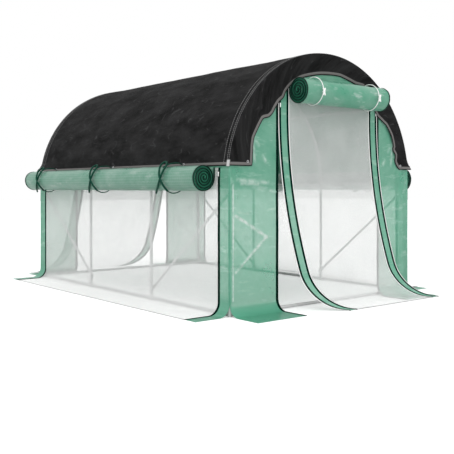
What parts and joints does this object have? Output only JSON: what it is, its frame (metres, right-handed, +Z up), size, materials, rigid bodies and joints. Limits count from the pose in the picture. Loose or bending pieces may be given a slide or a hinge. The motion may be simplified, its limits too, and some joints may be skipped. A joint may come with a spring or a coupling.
{
  "type": "polytunnel greenhouse",
  "caption": "Arched tube-frame polytunnel greenhouse with a green film cover, rolled-up walls and doors, white insect nets, ground skirts and a dark shade net over the roof.",
  "frame": {"origin": "centre of the plan, on the ground", "axes": "+Z up, +Y along the tunnel away from the front door, +X to the right as seen from the front door"},
  "size_m": [2.6096, 3.7152, 1.9491],
  "materials": {
    "white_tube": "satin",
    "connector": "satin",
    "green_film": "satin",
    "white_net": "matte",
    "shade": "matte",
    "green_cord": "matte",
    "white_cord": "matte",
    "clip": "matte"
  },
  "bodies": {
    "root": {"back_door_roll": "green_film", "back_gable": "green_film", "back_hoop_arch": "white_tube", "back_hoop_posts": "white_tube", "back_left_panel": "green_film", "back_net": "white_net", "back_net_tapes": "green_film", "back_right_panel": "green_film", "back_shade_valance": "shade", "door_roll_ties": "white_cord", "eaves_connectors": "connector", "eaves_rails": "white_tube", "end_base_rails": "white_tube", "foot_connectors": "connector", "front_door_roll": "green_film", "front_gable": "green_film", "front_hoop_arch": "white_tube", "front_hoop_posts": "white_tube", "front_left_panel": "green_film", "front_net": "white_net", "front_net_tapes": "green_film", "front_right_panel": "green_film", "front_shade_valance": "shade", "left_corner_strips": "green_film", "left_side_net": "white_net", "left_wall_roll": "green_film", "ridge_connectors": "connector", "ridge_rail": "white_tube", "right_corner_strips": "green_film", "right_side_net": "white_net", "right_wall_roll": "green_film", "roof_cover": "green_film", "second_hoop_arch": "white_tube", "second_hoop_posts": "white_tube", "shade_clips": "clip", "shade_net": "shade", "shoulder_connectors": "connector", "shoulder_rails": "white_tube", "side_base_rails": "white_tube", "side_braces": "white_tube", "third_hoop_arch": "white_tube", "third_hoop_posts": "white_tube", "wall_roll_ties": "green_cord"}
  },
  "joints": []
}
